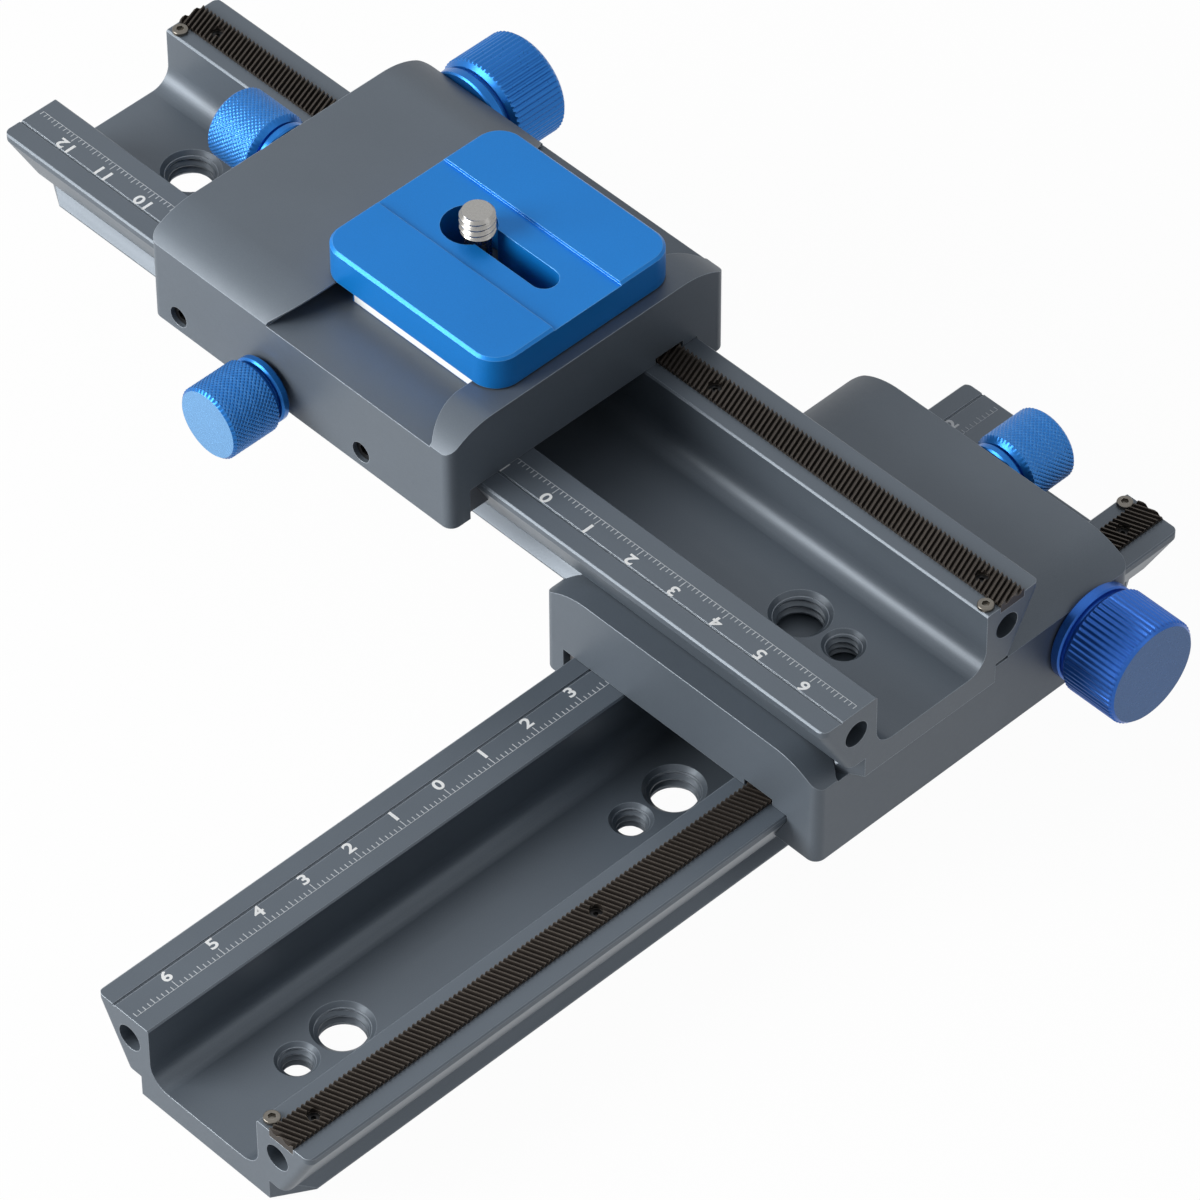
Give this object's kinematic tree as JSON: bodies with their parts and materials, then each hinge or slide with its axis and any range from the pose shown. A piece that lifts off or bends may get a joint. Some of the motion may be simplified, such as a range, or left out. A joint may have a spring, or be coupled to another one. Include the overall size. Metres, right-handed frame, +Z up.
{
  "type": "macro focusing rail",
  "caption": "Cross slide for macro photography: geared rails with scale, carriages with locks and dovetail clamps, and a quick-release plate with a camera screw.",
  "frame": {"origin": "centre of the middle 3/8 inch tripod thread at the underside of the lower rail", "axes": "+Z up towards the camera; the upper rail and its carriage run along X, the lower carriage runs along Y; +X is the end of the upper rail over the lower carriage"},
  "size_m": [0.2125, 0.2, 0.0691],
  "materials": {
    "rail_anodised": "satin dark blue-grey anodised",
    "carriage_anodised": "satin dark blue-grey anodised",
    "rack_steel": "blackened steel, bright where cut",
    "dark_screw_steel": "blackened",
    "bright_screw_steel": "plain stainless",
    "gib_steel": "ground steel",
    "bush_bronze": "plain bronze",
    "shaft_steel": "ground steel",
    "jaw_aluminium": "satin dark blue-grey anodised",
    "pad_brass": "plain brass",
    "collar_aluminium": "satin anodised",
    "knob_blue": "bright blue anodised",
    "lower_drive_blue": "royal blue anodised",
    "plate_blue": "bright blue anodised",
    "camera_screw_steel": "plain stainless",
    "washer_plastic": "black washer"
  },
  "bodies": {
    "lower_rail": {"lower_rail": "rail_anodised", "lower_rack": "rack_steel", "lower_rack_screws": "dark_screw_steel", "lower_stop_screws": "bright_screw_steel"},
    "lower_carriage": {"lower_carriage": "carriage_anodised", "lower_gib": "gib_steel", "lower_gib_screws": "dark_screw_steel", "lower_drive_bushes": "bush_bronze", "lower_drive_collar": "collar_aluminium"},
    "lower_drive": {"lower_drive_shaft": "shaft_steel", "lower_drive_knob": "lower_drive_blue", "lower_knob_set_screw": "dark_screw_steel"},
    "lower_lock_pad": {"lower_lock_pad": "pad_brass"},
    "lower_lock": {"lower_lock_knob": "knob_blue", "lower_lock_screw": "bright_screw_steel"},
    "lower_jaw": {"lower_clamp_jaw": "jaw_aluminium"},
    "lower_clamp": {"lower_clamp_knob": "knob_blue", "lower_clamp_screw": "bright_screw_steel"},
    "upper_rail": {"upper_rail": "rail_anodised", "upper_rack": "rack_steel", "upper_rack_screws": "dark_screw_steel", "upper_stop_screws": "bright_screw_steel"},
    "upper_carriage": {"upper_carriage": "carriage_anodised", "upper_gib": "gib_steel", "upper_gib_screws": "dark_screw_steel", "upper_drive_bushes": "bush_bronze", "upper_drive_collar": "collar_aluminium"},
    "upper_drive": {"upper_drive_shaft": "shaft_steel", "upper_drive_knob": "knob_blue", "upper_knob_set_screw": "dark_screw_steel"},
    "upper_lock_pad": {"upper_lock_pad": "pad_brass"},
    "upper_lock": {"upper_lock_knob": "knob_blue", "upper_lock_screw": "bright_screw_steel"},
    "upper_jaw": {"upper_clamp_jaw": "jaw_aluminium"},
    "upper_clamp": {"upper_clamp_knob": "knob_blue", "upper_clamp_screw": "bright_screw_steel"},
    "camera_plate": {"camera_plate": "plate_blue"},
    "camera_washer": {"camera_washer": "washer_plastic"},
    "camera_screw": {"camera_screw": "camera_screw_steel"}
  },
  "joints": [
    {"name": "lower_carriage_slide", "type": "slide", "parent": "lower_rail", "child": "lower_carriage", "axis": [0, -1, 0], "range_m": [-0.0165, 0.1025]},
    {"name": "lower_drive_turn", "type": "hinge", "parent": "lower_carriage", "child": "lower_drive", "pos_m": [0.032, 0.065, 0.02001], "axis": [1, 0, 0], "range_deg": [-372, 2301]},
    {"name": "lower_lock_pad_slide", "type": "slide", "parent": "lower_carriage", "child": "lower_lock_pad", "axis": [-1, 0, 0], "range_m": [0, 0.0007]},
    {"name": "lower_lock_turn", "type": "hinge", "parent": "lower_lock_pad", "child": "lower_lock", "pos_m": [-0.032, 0.0455, 0.0136], "axis": [-1, 0, 0], "range_deg": [-0.5, 360.5]},
    {"name": "lower_jaw_slide", "type": "slide", "parent": "lower_carriage", "child": "lower_jaw", "axis": [0, 1, 0], "range_m": [0, 0.002]},
    {"name": "lower_clamp_turn", "type": "hinge", "parent": "lower_jaw", "child": "lower_clamp", "pos_m": [0, 0.075, 0.0249], "axis": [0, 1, 0], "range_deg": [-0.5, 720.5]},
    {"name": "upper_carriage_slide", "type": "slide", "parent": "upper_rail", "child": "upper_carriage", "axis": [1, 0, 0], "range_m": [-0.04258, 0.07642]},
    {"name": "upper_drive_turn", "type": "hinge", "parent": "upper_carriage", "child": "upper_drive", "pos_m": [-0.10962, 0.05685, 0.04703], "axis": [0, 1, 0], "range_deg": [-957, 1716]},
    {"name": "upper_lock_pad_slide", "type": "slide", "parent": "upper_carriage", "child": "upper_lock_pad", "axis": [0, -1, 0], "range_m": [0, 0.0007]},
    {"name": "upper_lock_turn", "type": "hinge", "parent": "upper_lock_pad", "child": "upper_lock", "pos_m": [-0.09012, -0.00715, 0.04062], "axis": [0, -1, 0], "range_deg": [-0.5, 360.5]},
    {"name": "upper_jaw_slide", "type": "slide", "parent": "upper_carriage", "child": "upper_jaw", "axis": [-1, 0, 0], "range_m": [0, 0.002]},
    {"name": "upper_clamp_turn", "type": "hinge", "parent": "upper_jaw", "child": "upper_clamp", "pos_m": [-0.11962, 0.02485, 0.05192], "axis": [-1, 0, 0], "range_deg": [-0.5, 720.5]},
    {"name": "upper_rail_slide", "type": "slide", "parent": "lower_carriage", "child": "upper_rail", "axis": [1, 0, 0], "range_m": [-0.0022, 0.13]},
    {"name": "camera_plate_slide", "type": "slide", "parent": "upper_carriage", "child": "camera_plate", "axis": [0, 1, 0], "range_m": [-0.014, 0.01]},
    {"name": "camera_screw_slide", "type": "slide", "parent": "camera_plate", "child": "camera_washer", "axis": [1, 0, 0], "range_m": [-0.002, 0.0155]},
    {"name": "camera_screw_turn", "type": "hinge", "parent": "camera_washer", "child": "camera_screw", "pos_m": [-0.07427, 0.02665, 0.06504], "axis": [0, 0, 1], "continuous": true}
  ],
  "couplings": [
    {"joint": "lower_drive_turn", "follows": "lower_carriage_slide", "rad_per_m": 391.54},
    {"joint": "lower_lock_turn", "follows": "lower_lock_pad_slide", "rad_per_m": 8976},
    {"joint": "lower_clamp_turn", "follows": "lower_jaw_slide", "rad_per_m": 6283.2},
    {"joint": "upper_drive_turn", "follows": "upper_carriage_slide", "rad_per_m": 391.54},
    {"joint": "upper_lock_turn", "follows": "upper_lock_pad_slide", "rad_per_m": 8976},
    {"joint": "upper_clamp_turn", "follows": "upper_jaw_slide", "rad_per_m": 6283.2}
  ]
}
